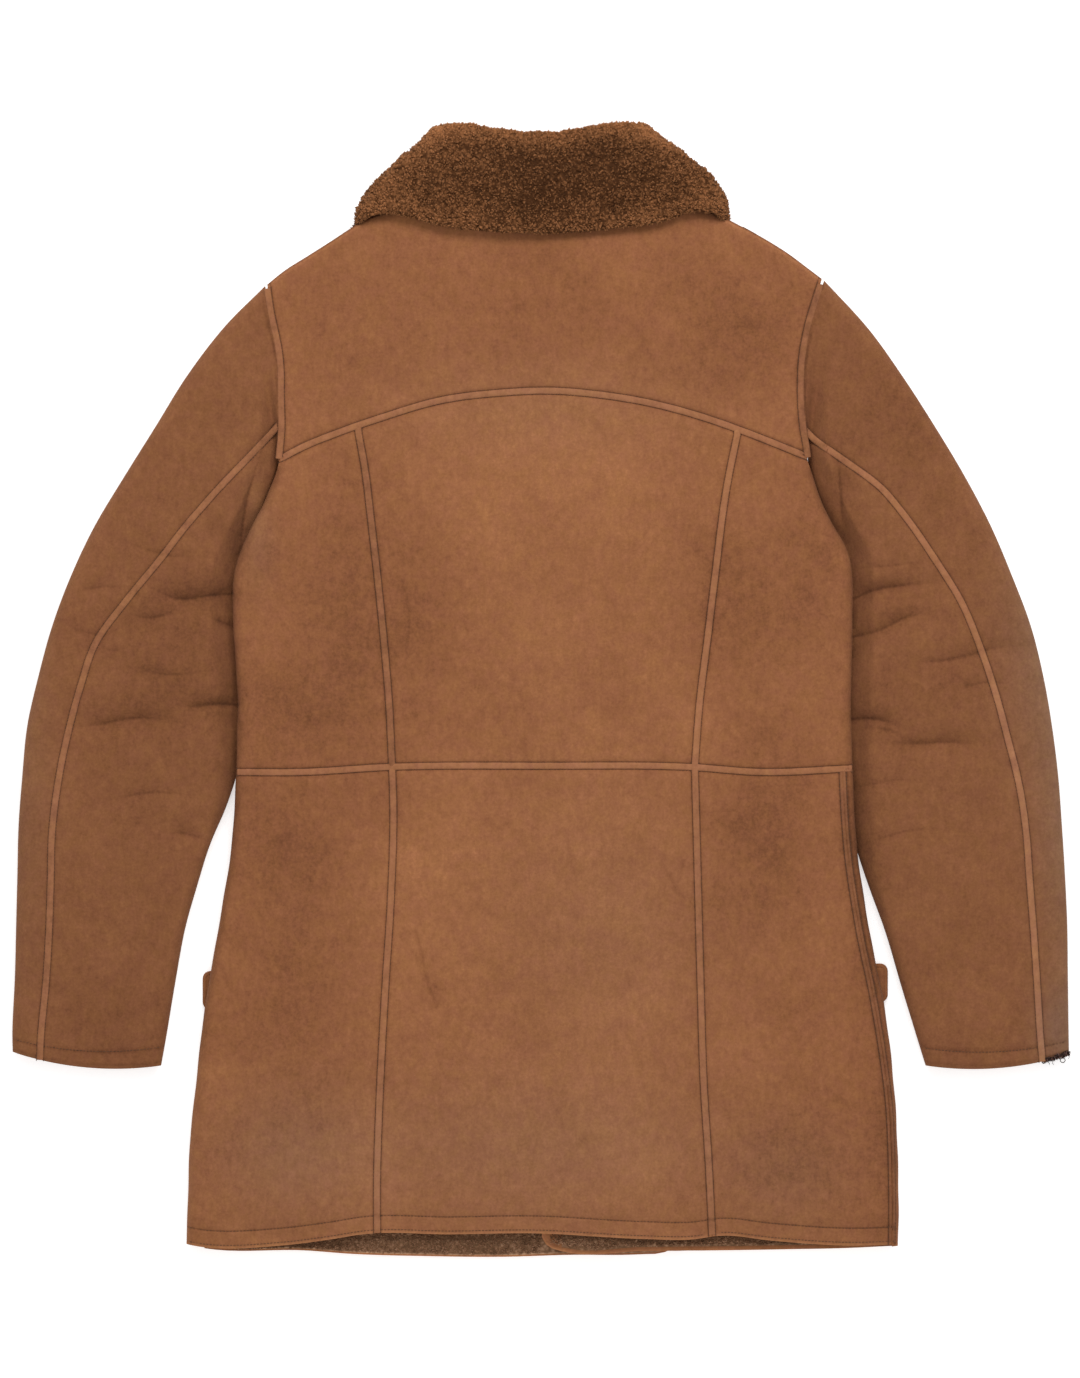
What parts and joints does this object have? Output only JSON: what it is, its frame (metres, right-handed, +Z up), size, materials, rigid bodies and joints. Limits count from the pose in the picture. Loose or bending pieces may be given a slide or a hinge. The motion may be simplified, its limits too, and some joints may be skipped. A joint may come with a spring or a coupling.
{
  "type": "shearling coat",
  "caption": "Shearling coat laid flat on its front: tan-brown suede panels with strapped seams, a dark-brown curly fleece collar and fleece inside, turned hem and cuffs.",
  "frame": {"origin": "on the surface it lies on, below the middle of its bounding box", "axes": "+Z up from the surface, out of the back of the coat; +Y along its length towards the collar; the wearer's left is -X"},
  "size_m": [0.846, 0.9072, 0.0467],
  "materials": {
    "suede": "matte napped suede",
    "seam_strap": "matte napped suede",
    "fleece": "curly wool pile",
    "horn_button": "satin"
  },
  "bodies": {
    "root": {"back_yoke": "suede", "back_centre_upper": "suede", "back_side_upper_left": "suede", "back_side_upper_right": "suede", "back_centre_skirt": "suede", "back_side_skirt_left": "suede", "back_side_skirt_right": "suede", "front_upper_left": "suede", "front_upper_right": "suede", "front_skirt_left": "suede", "front_skirt_right": "suede", "sleeve_left_top": "suede", "sleeve_left_under": "suede", "sleeve_right_top": "suede", "sleeve_right_under": "suede", "pocket_flap_left": "suede", "pocket_flap_right": "suede", "strap_yoke": "seam_strap", "strap_waist": "seam_strap", "strap_upper_left": "seam_strap", "strap_upper_right": "seam_strap", "strap_skirt_left": "seam_strap", "strap_skirt_right": "seam_strap", "strap_side_right": "seam_strap", "strap_armhole_left": "seam_strap", "strap_armhole_right": "seam_strap", "strap_sleeve_left": "seam_strap", "strap_sleeve_right": "seam_strap", "collar": "fleece", "button_1": "horn_button", "button_2": "horn_button", "button_3": "horn_button", "button_4": "horn_button"}
  },
  "joints": []
}
